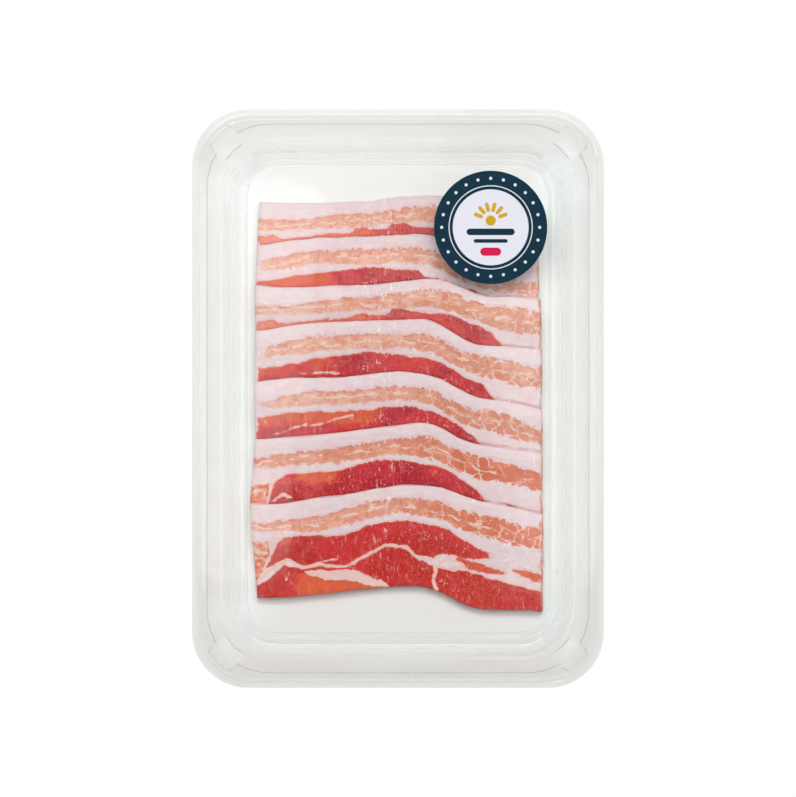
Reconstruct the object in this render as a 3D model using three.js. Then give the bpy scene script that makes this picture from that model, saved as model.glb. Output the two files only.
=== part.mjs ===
// A sealed tray of sliced pork belly: a clear thermoformed tray, seven folded slices laid over each
// other like roof tiles, a clear lid film sealed to the tray's flange, and a round label on the film.
//
// Millimetres, +Z up. The origin is the middle of the floor's underside, +Y points to the top edge of
// the pack (the end with the label), and +X to the right of somebody reading the label.

import * as THREE from 'three';

// ---------------------------------------------------------------------------------------------
// Driving dimensions
// ---------------------------------------------------------------------------------------------

const TRAY_WIDTH = 146;
const TRAY_LENGTH = 205;
const TRAY_HEIGHT = 20;
const SHEET = 0.5; // thickness of the formed sheet
const END_INSET = 0.94; // an inset at the two short ends, as a share of the inset at the long sides

const FLANGE_INSET = 5.6; // where the wall leaves the flange
const FLOOR_INSET = 18.8; // where the flat floor begins
const RIM_INSET = 2.3; // where the flange starts to curl down to its cut edge

const LUG_OUT = 4; // how far a corner lug reaches into the flange
const LUG_HALF_ANGLE = 11.5; // half of the lug's spread round its corner, in degrees
const LUG_DEPTH = 5.4; // from the flange down to the lug's shelf

const FILM = 0.2;
const FILM_GAP = 0.2;

const LABEL_DIAMETER = 40;
const LABEL_CENTRE = [32.7, 60.4];
const LABEL_THICKNESS = 0.2;
const LABEL_GAP = 0.1;
const LABEL_SIDES = 56;

const SLICE_THICKNESS = 4; // two leaves of 2 mm
const SLICE_LENGTH = 41; // from the back edge to the front edge
const SLICE_GAP = 0.35; // clear space under every slice
const EDGE_ROUND = 1.3; // how far the rounding of a slice's edge reaches in
const MAX_DROOP = 0.42; // steepest slope that a slice takes over the edge of the one below

// ---------------------------------------------------------------------------------------------
// Small helpers
// ---------------------------------------------------------------------------------------------

const clamp = (value, low, high) => Math.min(Math.max(value, low), high);
const lerp = (a, b, t) => a + (b - a) * t;

function smooth(t) {
  const c = clamp(t, 0, 1);
  return c * c * (3 - 2 * c);
}

/** Straight-line interpolation through [[x, y], ...], held constant past both ends. */
function through(points, x) {
  if (x <= points[0][0]) return points[0][1];
  for (let i = 1; i < points.length; i += 1) {
    const [x0, y0] = points[i - 1];
    const [x1, y1] = points[i];
    if (x <= x1) return lerp(y0, y1, (x - x0) / (x1 - x0));
  }
  return points[points.length - 1][1];
}

function meshOf(name, positions, triangles, material) {
  const geometry = new THREE.BufferGeometry();
  geometry.setAttribute('position', new THREE.Float32BufferAttribute(positions.flat(), 3));
  geometry.setIndex(triangles.flat());
  geometry.computeVertexNormals();
  const mesh = new THREE.Mesh(geometry, material);
  mesh.name = name;
  return mesh;
}

/** Two triangles for the quad a-b-c-d, counted against the clock seen from outside. */
const quad = (a, b, c, d) => [[a, b, c], [a, c, d]];

/**
 * A closed body from a stack of rings with equal numbers of points. The rings run over the top
 * face from its middle to its edge and back under it, so the first and last are closed by caps.
 */
function ringBody(rings) {
  const count = rings[0].length;
  const triangles = [];
  for (let r = 0; r + 1 < rings.length; r += 1) {
    for (let i = 0; i < count; i += 1) {
      const next = (i + 1) % count;
      const low = r * count;
      const high = low + count;
      triangles.push(...quad(low + i, high + i, high + next, low + next));
    }
  }
  const lastRing = (rings.length - 1) * count;
  for (const [a, b] of capPairs(count)) {
    triangles.push([a[0], a[1], b], [lastRing + a[1], lastRing + a[0], lastRing + b]);
  }
  return { positions: rings.flat(), triangles };
}

/** Triangles that close a convex ring by strips across it: pairs of one edge and a third corner. */
function capPairs(count) {
  const pairs = [];
  let left = 0;
  let right = count - 1;
  while (right - left > 1) {
    pairs.push([[left, left + 1], right]);
    left += 1;
    if (right - left > 1) {
      pairs.push([[right, left], right - 1]);
      right -= 1;
    }
  }
  return pairs;
}

// ---------------------------------------------------------------------------------------------
// Outline of the tray: rounded rectangles that share their corner angles
// ---------------------------------------------------------------------------------------------

/** Corner radius at each inset: the flange is widest in the corners, the floor's corners are tight. */
const CORNER_RADIUS = [[0, 20], [RIM_INSET, 19], [FLANGE_INSET, 22], [10.4, 19.5], [15.5, 14], [FLOOR_INSET, 12]];

/** Angles round one corner, close together at the two flanks of the lug. */
function cornerAngles(lugHalfAngle) {
  const flank = 3;
  const inner = [0, 0.58].map((share) => share * lugHalfAngle);
  const lug = [...inner, lugHalfAngle, lugHalfAngle + flank];
  const plain = [23.5, 34, 45];
  const half = [...lug, ...plain];
  return [...half.slice(1).reverse().map((a) => 45 - a), ...half.map((a) => 45 + a)];
}

/** How far the lug pushes the wall out at an angle from the corner's diagonal. */
function lugPush(fromDiagonal, lugHalfAngle) {
  const across = Math.abs(fromDiagonal) / lugHalfAngle;
  if (across > 1.01) return 0;
  return LUG_OUT * (across > 0.9 ? 0.84 : 1);
}

/** One ring of the tray: inset from the outer edge, height, and whether the lugs reach it. */
function trayRing({ inset, z, lug = false }, lugHalfAngle) {
  const radius = through(CORNER_RADIUS, inset);
  const halfX = TRAY_WIDTH / 2 - inset;
  const halfY = TRAY_LENGTH / 2 - inset * END_INSET;
  const ring = [];
  for (const [signX, signY, turned] of [[1, 1, false], [-1, 1, true], [-1, -1, false], [1, -1, true]]) {
    const angles = cornerAngles(lugHalfAngle);
    if (turned) angles.reverse();
    for (const angle of angles) {
      const reach = radius + (lug ? lugPush(angle - 45, lugHalfAngle) : 0);
      const turn = THREE.MathUtils.degToRad(angle);
      const x = halfX - radius + reach * Math.cos(turn);
      const y = halfY - radius + reach * Math.sin(turn);
      ring.push([signX * x, signY * y, z]);
    }
  }
  return ring;
}

// ---------------------------------------------------------------------------------------------
// Tray
// ---------------------------------------------------------------------------------------------

/** Upper face of the sheet in section, from the floor out to the cut edge of the rim. */
const TOP = TRAY_HEIGHT;
const SECTION = [
  { inset: FLOOR_INSET, z: SHEET },
  { inset: 18.1, z: 1.15 }, // small step round the floor
  { inset: 16.3, z: 1.3 }, // gutter at the foot of the wall
  { inset: 15.4, z: 1.75 },
  { inset: 14.7, z: 2.9 },
  { inset: 10.7, z: 11.2 }, // top of the lower wall
  { inset: 9.9, z: 11.6 }, // ledge half way up
  { inset: 8.6, z: TOP - LUG_DEPTH - 0.4 },
  { inset: 8.3, z: TOP - LUG_DEPTH, lug: true }, // shelf of the corner lugs
  { inset: 6.2, z: TOP - 0.8, lug: true },
  { inset: FLANGE_INSET, z: TOP - 0.12, lug: true },
  { inset: FLANGE_INSET - 0.5, z: TOP, lug: true },
  { inset: RIM_INSET, z: TOP },
  { inset: 1.3, z: TOP - 0.35 }, // the rim curls down
  { inset: 0.5, z: TOP - 1 },
  { inset: 0.1, z: TOP - 1.9 },
  { inset: 0, z: TOP - 2.8 },
];

/** The lower face of the sheet: every section point moved by the sheet's thickness. */
function undersideOf(section) {
  return section.map((point, i) => {
    const before = section[Math.max(i - 1, 0)];
    const after = section[Math.min(i + 1, section.length - 1)];
    const run = before.inset - after.inset;
    const rise = after.z - before.z;
    const length = Math.hypot(run, rise);
    if (i === 0) return { ...point, z: point.z - SHEET };
    return {
      ...point,
      inset: point.inset - (SHEET * rise) / length,
      z: point.z - (SHEET * run) / length,
    };
  });
}

/** The rim's underside turns the other way, so that the cut edge stays inside the outline. */
function tray(material) {
  const rimStart = SECTION.findIndex((point) => point.inset === RIM_INSET);
  const inner = SECTION.slice(0, rimStart + 1);
  const rim = SECTION.slice(rimStart);
  const under = undersideOf(inner);
  const rimUnder = rim.slice(1).map((point) => ({
    inset: point.inset + SHEET * smooth((TOP - point.z) / 0.8),
    z: point.z - SHEET * (1 - smooth((TOP - point.z) / 0.8)),
  }));
  const lugUnder = LUG_HALF_ANGLE + 1.3;
  const rings = [
    ...SECTION.map((point) => trayRing(point, LUG_HALF_ANGLE)),
    ...rimUnder.reverse().map((point) => trayRing(point, lugUnder)),
    ...under.reverse().map((point) => trayRing(point, lugUnder)),
  ];
  const { positions, triangles } = ringBody(rings);
  return meshOf('tray', positions, triangles, material);
}

// ---------------------------------------------------------------------------------------------
// Lid film and label
// ---------------------------------------------------------------------------------------------

function lidFilm(material) {
  const low = TRAY_HEIGHT + FILM_GAP;
  const rings = [low + FILM, low].map((z) => trayRing({ inset: RIM_INSET, z }, LUG_HALF_ANGLE));
  const { positions, triangles } = ringBody(rings);
  return meshOf('lid_film', positions, triangles, material);
}

function label(material) {
  const geometry = new THREE.CylinderGeometry(
    LABEL_DIAMETER / 2,
    LABEL_DIAMETER / 2,
    LABEL_THICKNESS,
    LABEL_SIDES,
  );
  const mesh = new THREE.Mesh(geometry, material);
  mesh.name = 'label';
  mesh.rotation.x = Math.PI / 2;
  const low = TRAY_HEIGHT + FILM_GAP + FILM + LABEL_GAP;
  mesh.position.set(LABEL_CENTRE[0], LABEL_CENTRE[1], low + LABEL_THICKNESS / 2);
  return mesh;
}

// ---------------------------------------------------------------------------------------------
// Slices
// ---------------------------------------------------------------------------------------------

/**
 * The back edge of each slice runs across the pack in one long S: at the left it starts at `y`,
 * climbs by `rise` to a crest at x = `crest`, falls by `drop` over the next 22 mm, and then keeps
 * falling by `tail` to the right end. `left` and `right` are where the slice ends.
 */
const EDGES = [
  { y: 69.7, rise: 2.6, crest: 13.7, drop: 4.1, tail: 2.7, left: -49.7, right: 51 },
  { y: 55.5, rise: 3.1, crest: 6, drop: 4, tail: 6, left: -50.4, right: 51 },
  { y: 39.3, rise: 2.7, crest: 13.2, drop: 5.9, tail: 1, left: -50.9, right: 51.2 },
  { y: 25, rise: 3.3, crest: 8, drop: 7.4, tail: 3, left: -50.9, right: 51.8 },
  { y: 6.7, rise: 2.6, crest: 7.6, drop: 6.4, tail: 5.5, left: -51.2, right: 52 },
  { y: -14.6, rise: 5.2, crest: 9, drop: 6, tail: 4.2, left: -51, right: 52.2 },
  { y: -37.7, rise: 6.5, crest: 8, drop: 3.4, tail: 6.8, left: -53, right: 52.4 },
];
/** The front edge of the last slice, which shows from end to end. */
const LAST_FRONT = { y: -71.6, rise: 4.4, crest: 8, drop: 8.6, tail: 0.2, left: -50.6, right: 52.6 };
const CURVES = [...EDGES, LAST_FRONT];

const EDGE_START = -50;
const EDGE_END = 51;
const DROP_SPAN = 22;

function edgeY({ y, rise, crest, drop, tail }, x) {
  const climb = rise * smooth((x - EDGE_START) / (crest - EDGE_START));
  const fall = drop * smooth((x - crest) / DROP_SPAN);
  const slope = tail * clamp((x - crest - 8) / (EDGE_END - crest - 8), 0, 1);
  return y + climb - fall - slope;
}

/** Columns of the shared lattice: the fold's nose at the left, the cut leaves' steps at the right. */
const FOLD_COLUMNS = [0, 0.9, 2.7];
const CUT_COLUMNS = [3.4, 1.7, 1.4, 0];
const INNER_COLUMNS = 15;

function columnX(column, left, right) {
  const count = FOLD_COLUMNS.length + INNER_COLUMNS + CUT_COLUMNS.length;
  if (column < FOLD_COLUMNS.length) return left + FOLD_COLUMNS[column];
  if (column >= count - CUT_COLUMNS.length) {
    return right - CUT_COLUMNS[column - (count - CUT_COLUMNS.length)];
  }
  const start = left + FOLD_COLUMNS[FOLD_COLUMNS.length - 1];
  const end = right - CUT_COLUMNS[0];
  return lerp(start, end, (column - FOLD_COLUMNS.length + 1) / (INNER_COLUMNS + 1));
}
const COLUMNS = FOLD_COLUMNS.length + INNER_COLUMNS + CUT_COLUMNS.length;

/**
 * Rows of the shared lattice: each is a curve number and a share of the way to the next curve.
 * Every slice starts on a row, and all of them use the same rows where they lie over each other.
 */
function latticeRows() {
  const rows = [];
  CURVES.slice(0, -1).forEach((curve, k) => {
    const depth = curve.y - CURVES[k + 1].y;
    const inner = Math.max(3, Math.round(depth / 4.6));
    rows.push({ curve: k, share: 0 }, { curve: k, share: EDGE_ROUND / depth });
    const first = 2.4 * EDGE_ROUND / depth;
    const last = k === CURVES.length - 2 ? 1 - (2.4 * EDGE_ROUND) / depth : 1;
    for (let i = 0; i < inner; i += 1) {
      const isLast = k === CURVES.length - 2;
      rows.push({ curve: k, share: lerp(first, last, i / (isLast ? inner - 1 : inner)) });
    }
    if (k === CURVES.length - 2) rows.push({ curve: k, share: 1 - EDGE_ROUND / depth });
  });
  rows.push({ curve: CURVES.length - 2, share: 1 });
  return rows;
}
const ROWS = latticeRows();

/** The point of the lattice in plan. */
function latticePoint(row, column) {
  const { curve, share } = ROWS[row];
  const a = CURVES[curve];
  const b = CURVES[curve + 1];
  const x = columnX(column, lerp(a.left, b.left, share), lerp(a.right, b.right, share));
  return [x, lerp(edgeY(a, x), edgeY(b, x), share)];
}
const PLAN = ROWS.map((_, row) => Array.from({ length: COLUMNS }, (__, column) => latticePoint(row, column)));

const firstRowOf = (slice) => ROWS.findIndex((row) => row.curve === slice && row.share === 0);

/** The last row of a slice: the row nearest to its full length, measured at mid width. */
function lastRowOf(slice) {
  const middle = Math.floor(COLUMNS / 2);
  const back = PLAN[firstRowOf(slice)][middle][1];
  let best = ROWS.length - 1;
  if (slice === EDGES.length - 1) return best;
  let error = Infinity;
  for (let row = firstRowOf(slice) + 1; row < ROWS.length; row += 1) {
    const miss = Math.abs(back - PLAN[row][middle][1] - SLICE_LENGTH);
    if (miss < error) {
      error = miss;
      best = row;
    }
  }
  return best;
}

/** Share of the full thickness that the upper and the lower face keep at a lattice point. */
function fullness(row, column, firstRow, lastRow) {
  const fold = [0.2, 0.72, 0.97][column] ?? 1;
  const cut = [1, 0.9, 0.5, 0.44][column - (COLUMNS - CUT_COLUMNS.length)] ?? 1;
  const back = [0.5, 0.93][row - firstRow] ?? 1;
  const front = [0.5, 0.9][lastRow - row] ?? 1;
  const upper = Math.min(fold, cut, back, front);
  const lower = Math.max(
    [0.32, 0.1][column] ?? 0,
    [0.2, 0.03][row - firstRow] ?? 0,
    [0.2, 0.03][lastRow - row] ?? 0,
    column === COLUMNS - 1 ? 0.08 : 0,
  );
  return { upper, lower: Math.min(lower, upper - 0.12) };
}

/**
 * Heights of a slice's lower face: it lies on what is under it, and hangs over an edge below with
 * a limited slope instead of dropping straight down. Averaging then only ever lifts it.
 */
function drape(support, firstRow, lastRow) {
  const floor = support.slice(firstRow, lastRow + 1).map((line) => line.map((z) => z + SLICE_GAP));
  const height = floor.map((line) => [...line]);
  const distance = (r0, c0, r1, c1) => {
    const [x0, y0] = PLAN[firstRow + r0][c0];
    const [x1, y1] = PLAN[firstRow + r1][c1];
    return Math.hypot(x1 - x0, y1 - y0);
  };
  const around = [[-1, 0], [1, 0], [0, -1], [0, 1]];
  const eachPoint = (visit) => height.forEach((line, r) => line.forEach((_, c) => visit(r, c)));
  const neighbours = (r, c) => around
    .map(([dr, dc]) => [r + dr, c + dc])
    .filter(([nr, nc]) => nr >= 0 && nr < height.length && nc >= 0 && nc < COLUMNS);
  for (let pass = 0; pass < 24; pass += 1) {
    eachPoint((r, c) => {
      for (const [nr, nc] of neighbours(r, c)) {
        height[r][c] = Math.max(height[r][c], height[nr][nc] - MAX_DROOP * distance(r, c, nr, nc));
      }
    });
  }
  for (let pass = 0; pass < 6; pass += 1) {
    const old = height.map((line) => [...line]);
    eachPoint((r, c) => {
      const near = neighbours(r, c).map(([nr, nc]) => [old[nr][nc], 1 / (0.5 + distance(r, c, nr, nc))]);
      const weight = near.reduce((sum, [, w]) => sum + w, 0);
      const mean = near.reduce((sum, [z, w]) => sum + z * w, 0) / weight;
      height[r][c] = Math.max(floor[r][c], lerp(old[r][c], mean, 0.6));
    });
  }
  return height;
}

/** One folded slice. It adds its upper face to `support`, the top of the pile so far. */
function slice(number, support, material) {
  const firstRow = firstRowOf(number);
  const lastRow = lastRowOf(number);
  const base = drape(support, firstRow, lastRow);
  const rowCount = lastRow - firstRow + 1;
  const upper = [];
  const lower = [];
  for (let r = 0; r < rowCount; r += 1) {
    for (let c = 0; c < COLUMNS; c += 1) {
      const [x, y] = PLAN[firstRow + r][c];
      const full = fullness(firstRow + r, c, firstRow, lastRow);
      const top = base[r][c] + SLICE_THICKNESS * full.upper;
      upper.push([x, y, top]);
      lower.push([x, y, base[r][c] + SLICE_THICKNESS * full.lower]);
      support[firstRow + r][c] = top;
    }
  }
  const at = (r, c) => r * COLUMNS + c;
  const under = upper.length;
  const triangles = [];
  for (let r = 0; r + 1 < rowCount; r += 1) {
    for (let c = 0; c + 1 < COLUMNS; c += 1) {
      const [a, b, d, e] = [at(r, c), at(r + 1, c), at(r + 1, c + 1), at(r, c + 1)];
      triangles.push(...quad(a, b, d, e));
      triangles.push(...quad(a, b, d, e).map(([p, q, s]) => [under + p, under + s, under + q]));
    }
  }
  const wall = (p, q) => triangles.push([q, p, under + p], [q, under + p, under + q]);
  for (let c = 0; c + 1 < COLUMNS; c += 1) {
    wall(at(0, c + 1), at(0, c));
    wall(at(rowCount - 1, c), at(rowCount - 1, c + 1));
  }
  for (let r = 0; r + 1 < rowCount; r += 1) {
    wall(at(r, 0), at(r + 1, 0));
    wall(at(r + 1, COLUMNS - 1), at(r, COLUMNS - 1));
  }
  return meshOf(`slice_${number + 1}`, [...upper, ...lower], triangles, material);
}

// ---------------------------------------------------------------------------------------------
// Materials and assembly
// ---------------------------------------------------------------------------------------------

const standard = (options) => new THREE.MeshStandardMaterial(options);

const pack = new THREE.Group();
pack.name = 'pork_belly_slices_pack';

pack.add(tray(standard({
  color: '#eceeed', roughness: 0.12, metalness: 0, transparent: true, opacity: 0.3,
})));

const support = PLAN.map((line) => line.map(() => SHEET));
EDGES.forEach((_, number) => {
  pack.add(slice(number, support, standard({ color: '#e0a095', roughness: 0.32, metalness: 0 })));
});

pack.add(lidFilm(standard({
  color: '#fbfcfc', roughness: 0.06, metalness: 0, transparent: true, opacity: 0.12,
})));
pack.add(label(standard({ color: '#1c3d50', roughness: 0.45, metalness: 0 })));

export default pack;
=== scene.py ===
"""A sealed clear tray of sliced pork belly, seen from straight above.

The tray, its lid film, the seven folded slices and the round label each replace their CAD node with a
finer mesh of the same form. Lengths are in millimetres until a mesh is made.
"""
import math
from collections import namedtuple
from types import SimpleNamespace

import bpy
import numpy as np
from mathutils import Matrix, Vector
from mathutils.bvhtree import BVHTree


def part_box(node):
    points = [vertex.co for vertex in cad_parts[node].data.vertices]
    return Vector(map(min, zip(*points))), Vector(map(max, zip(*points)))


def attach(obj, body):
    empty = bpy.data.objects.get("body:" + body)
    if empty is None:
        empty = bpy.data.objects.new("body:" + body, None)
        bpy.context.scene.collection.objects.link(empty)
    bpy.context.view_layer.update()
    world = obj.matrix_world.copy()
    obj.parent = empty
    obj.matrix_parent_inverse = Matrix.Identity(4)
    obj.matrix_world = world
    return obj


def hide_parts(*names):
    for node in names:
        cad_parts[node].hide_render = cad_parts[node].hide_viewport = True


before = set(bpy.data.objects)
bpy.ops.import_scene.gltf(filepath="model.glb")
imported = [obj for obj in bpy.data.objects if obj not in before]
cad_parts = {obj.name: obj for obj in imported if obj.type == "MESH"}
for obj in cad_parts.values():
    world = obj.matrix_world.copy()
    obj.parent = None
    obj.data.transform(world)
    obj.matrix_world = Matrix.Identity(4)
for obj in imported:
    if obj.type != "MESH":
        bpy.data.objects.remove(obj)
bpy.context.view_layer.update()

MM = 0.001

# ---- Sizes, as in the CAD model ----

TRAY_WIDTH = 146
TRAY_LENGTH = 205
TRAY_HEIGHT = 20
SHEET = 0.5
# Insets are measured from the tray's side. At the short ends they are this share of it.
END_INSET = [(0, 0.94), (5.6, 1), (14.7, 1), (19, 0.98)]
FLANGE_INSET = 5.6
FLOOR_INSET = 18.8
RIM_INSET = 2.3
CORNER_RADIUS = [(0, 20), (RIM_INSET, 19), (FLANGE_INSET, 22), (10.4, 19.5), (15.5, 14), (FLOOR_INSET, 12)]
LUG_OUT = 3.3
LUG_HALF_ANGLE = 10.5
LUG_FLANK = 3
LUG_DEPTH = 5.4

LABEL_CENTRE = (32.7, 60.4)
LABEL_RADIUS = 20

# ---- Numbers and meshes ----


def smooth(t):
    t = np.clip(t, 0, 1)
    return t * t * (3 - 2 * t)


def lerp(a, b, t):
    return a + (b - a) * t


def through(points, x):
    """Straight-line interpolation through [(x, y), ...]."""
    xs, ys = zip(*points)
    return np.interp(x, xs, ys)


def noise(x, y, size, seed):
    """Smooth noise from -1 to 1 with features `size` mm across."""
    gx, gy = x / size + 17.3 * seed, y / size + 9.1 * seed
    ix, iy = np.floor(gx), np.floor(gy)
    fx, fy = smooth(gx - ix), smooth(gy - iy)

    def corner(dx, dy):
        wave = np.sin((ix + dx) * 127.1 + (iy + dy) * 311.7 + seed * 74.7) * 43758.5453
        return 2 * (wave - np.floor(wave)) - 1

    return lerp(lerp(corner(0, 0), corner(1, 0), fx), lerp(corner(0, 1), corner(1, 1), fx), fy)


def at_height(plan, z):
    return np.column_stack([plan, np.full(len(plan), z, float)])


def circle(sides):
    turn = np.linspace(0, 2 * np.pi, sides, endpoint=False)
    return np.column_stack([np.cos(turn), np.sin(turn)])


def add_object(name, data):
    thing = bpy.data.objects.new(name, data)
    bpy.context.scene.collection.objects.link(thing)
    return thing


def make_piece(name, points, faces, material, attributes=None, flat=False):
    """A mesh object from points in millimetres, riding on the CAD body."""
    mesh = bpy.data.meshes.new(name)
    mesh.from_pydata((np.asarray(points, float) * MM).tolist(), [], faces)
    mesh.validate()
    if not flat:
        mesh.shade_smooth()
    for key, values in (attributes or {}).items():
        layer = mesh.attributes.new(key, "FLOAT", "POINT")
        layer.data.foreach_set("value", np.asarray(values, np.float32).ravel())
    mesh.materials.append(material)
    piece = add_object(name, mesh)
    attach(piece, "root")
    return piece


def ring_faces(rings, count):
    """Faces of a body made of stacked rings with `count` points each."""
    faces = []
    for low in range(0, (rings - 1) * count, count):
        high = low + count
        for i in range(count):
            n = (i + 1) % count
            faces.append((low + i, high + i, high + n, low + n))
    faces.append(tuple(range(count)))
    faces.append(tuple(range(rings * count - 1, (rings - 1) * count - 1, -1)))
    return faces


# ---- Material helpers ----


class Nodes:
    """A short way to write the node tree of a material or of the world."""

    def __init__(self, owner, output="OutputMaterial"):
        self.owner = owner
        owner.use_nodes = True
        self.tree = owner.node_tree
        self.tree.nodes.clear()
        self.output = self.add(output)

    def add(self, kind, inputs=None, **settings):
        node = self.tree.nodes.new("ShaderNode" + kind)
        for key, value in settings.items():
            setattr(node, key, value)
        for key, value in (inputs or {}).items():
            self.feed(node.inputs[key], value)
        return node

    def out(self, kind, inputs=None, **settings):
        return self.add(kind, inputs, **settings).outputs[0]

    def feed(self, socket, value):
        if isinstance(value, bpy.types.NodeSocket):
            self.tree.links.new(value, socket)
        else:
            socket.default_value = value

    def math(self, operation, a, b=0.0, c=0.0):
        return self.out("Math", {0: a, 1: b, 2: c}, operation=operation)

    def line(self, value, slope, start):
        return self.math("MULTIPLY_ADD", value, slope, start)

    def times(self, a, b):
        return self.math("MULTIPLY", a, b)

    def larger(self, a, b):
        return self.math("MAXIMUM", a, b)

    def swing(self, pattern, amount, start=0.0):
        """A noise pattern made to swing by `amount` about `start`."""
        return self.line(self.math("SUBTRACT", pattern, 0.5), amount, start)

    def ramp(self, value, low, high, most=1.0, least=0.0):
        """`least` up to `low`, `most` from `high` on, smooth between."""
        inputs = {0: value, 1: low, 2: high, 3: least, 4: most}
        return self.out("MapRange", inputs, interpolation_type="SMOOTHSTEP")

    def vector(self, operation, a, b):
        return self.out("VectorMath", {0: a, 1: b}, operation=operation)

    def mix(self, factor, a, b, blend="MIX"):
        return self.add("Mix", {0: factor, 6: a, 7: b}, data_type="RGBA", blend_type=blend).outputs[2]

    def layered(self, colour, layers):
        """Colours laid over each other: rows of pattern, where it starts, where it is full, share, colour."""
        for pattern, low, high, share, over in layers:
            colour = self.mix(self.ramp(pattern, low, high, share), colour, over)
        return colour

    def field(self, name):
        """A number that the mesh carries at each point."""
        return self.add("Attribute", attribute_name=name).outputs["Fac"]

    def place(self):
        """Object coordinates in millimetres."""
        return self.out("Mapping", {0: self.add("TexCoord").outputs["Object"], 3: [1 / MM] * 3})

    def noise(self, place, scale, detail=2.0, roughness=0.5, distortion=0.0, output="Fac"):
        inputs = {"Vector": place, "Scale": scale, "Detail": detail, "Roughness": roughness}
        return self.add("TexNoise", {**inputs, "Distortion": distortion}).outputs[output]

    def cells(self, place, scale, feature="F1", output="Distance", randomness=1.0):
        inputs = {"Vector": place, "Scale": scale, "Randomness": randomness}
        return self.add("TexVoronoi", inputs, feature=feature).outputs[output]

    def warped(self, place, scale, amount):
        """The place moved about by noise, so that straight patterns bend."""
        centred = self.vector("SUBTRACT", self.noise(place, scale, output="Color"), (0.5, 0.5, 0.5))
        moved = self.out("VectorMath", {0: centred, "Scale": amount}, operation="SCALE")
        return self.vector("ADD", place, moved)

    def bump(self, height, distance, strength=1.0, normal=None):
        inputs = {"Height": height, "Distance": distance * MM, "Strength": strength}
        if normal is not None:
            inputs["Normal"] = normal
        return self.out("Bump", inputs)

    def finish(self, shader):
        self.tree.links.new(shader, self.output.inputs[0])
        return self.owner

    def surface(self, inputs):
        """The material, finished with a principled shader."""
        return self.finish(self.out("BsdfPrincipled", inputs))


def material_nodes(name):
    return Nodes(bpy.data.materials.new(name))


def srgb(r, g, b):
    """A linear colour from 0-255 screen values."""
    def channel(c):
        c /= 255
        return c / 12.92 if c <= 0.04045 else ((c + 0.055) / 1.055) ** 2.4
    return (channel(r), channel(g), channel(b), 1.0)


# ---- Clear sheet: tray and film ----

FACE_ON_MIRROR = 0.02  # share of light that one face reflects head on
MIRROR_POWER, EDGE_POWER = 5.0, 9.0  # how late the mirror and the edge tone set in as the sheet turns away
GREY_AND_SHADE_TINT = (0.48, 0.48, 0.47, 1)
SIDE_LIGHT_TINT = (0.95, 1, 1, 1)
FROST_AND_HIGHLIGHT_SHARE = 0.8


def clear_sheet(name, clear, edge, haze, wobble_size, wobble, formed=False):
    """A thin clear sheet: see-through face on, greyer where seen edge on, with a faint wobble."""
    n = material_nodes(name)
    place = n.place()
    fine = n.noise(place, 2.2, 3.0)
    normal = n.bump(n.noise(place, 1 / wobble_size), wobble)
    slant = n.add("LayerWeight", {"Blend": 0.5, "Normal": normal}).outputs["Facing"]
    tint = n.mix(n.math("POWER", slant, EDGE_POWER), clear, edge)
    body_share = n.line(fine, haze * 0.5, haze * 0.75)
    if formed:
        # Painted shade: the tray greys by its grey share, which holds the painted shade by side and along the
        # thin dark lines.
        tint = n.mix(n.field("grey_and_shade"), tint, GREY_AND_SHADE_TINT)
        # Painted light: the sheet less red at the sides.
        tint = n.mix(n.field("painted_side_light"), tint, SIDE_LIGHT_TINT, "MULTIPLY")
        # Frosting with a painted highlight: a whiter, diffuse share along the white lines.
        body_share = n.line(n.field("frost_and_highlight"), FROST_AND_HIGHLIGHT_SHARE, body_share)
    clear_part = n.out("BsdfTransparent", {0: tint})
    body = n.out("BsdfDiffuse", {0: srgb(246, 246, 243)})
    sheet = n.out("MixShader", {0: body_share, 1: clear_part, 2: body})
    rough = n.line(fine, 0.05, 0.05)
    gloss = n.out("BsdfGlossy", {"Color": (1, 1, 1, 1), "Roughness": rough, "Normal": normal})
    mirror = n.line(n.math("POWER", slant, MIRROR_POWER), 1 - FACE_ON_MIRROR, FACE_ON_MIRROR)
    return n.finish(n.out("MixShader", {0: mirror, 1: sheet, 2: gloss}))


# ---- Tray ----

TOP = TRAY_HEIGHT
# Upper face of the sheet: inset, height, fillet radius and share of the lug.
SECTION = [
    (FLOOR_INSET + 0.5, SHEET, 0.1, 0),
    (FLOOR_INSET, SHEET, 0.25, 0),
    (18.1, 1.15, 0.3, 0),
    (17.2, 1.225, 0.15, 0),
    (16.3, 1.3, 0.5, 0),
    (15.4, 1.75, 0.7, 0),
    (14.7, 2.9, 0.4, 0),
    (14.2, 3.9, 0.3, 0),
    (10.7, 11.2, 0.9, 0),
    (9.9, 11.6, 0.6, 0),
    (8.85, 13.7, 0.06, 0),
    (8.6, TOP - LUG_DEPTH - 0.4, 0.22, 0),
    (8.3, TOP - LUG_DEPTH, 0.2, 1),
    (6.0, TOP - 0.9, 0.3, 1),
    (FLANGE_INSET, TOP - 0.12, 0.25, 1),
    (FLANGE_INSET - 0.4, TOP, 0.15, 1),
    (RIM_INSET, TOP, 0.5, 0),
    (1.3, TOP - 0.35, 0.6, 0),
    (0.5, TOP - 1, 0.6, 0),
    (0.1, TOP - 1.9, 0.4, 0),
    (0, TOP - 2.8, 0.1, 0),
]
# How grey the sheet is at an inset, and the painted shade added along each side: darker at the front and the
# sides, lighter at the back.
GREY = [
    (0, 0.11), (0.5, 0.17), (5.4, 0.19), (5.9, 0.14), (10.7, 0.12), (14.2, 0.11), (15.5, 0.14), (17.8, 0.14),
    (19, 0.06),
]
PAINTED_SHADE_LEFT, PAINTED_SHADE_RIGHT, PAINTED_SHADE_BACK, PAINTED_SHADE_FRONT = 0.03, 0.04, -0.02, 0.07
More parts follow.
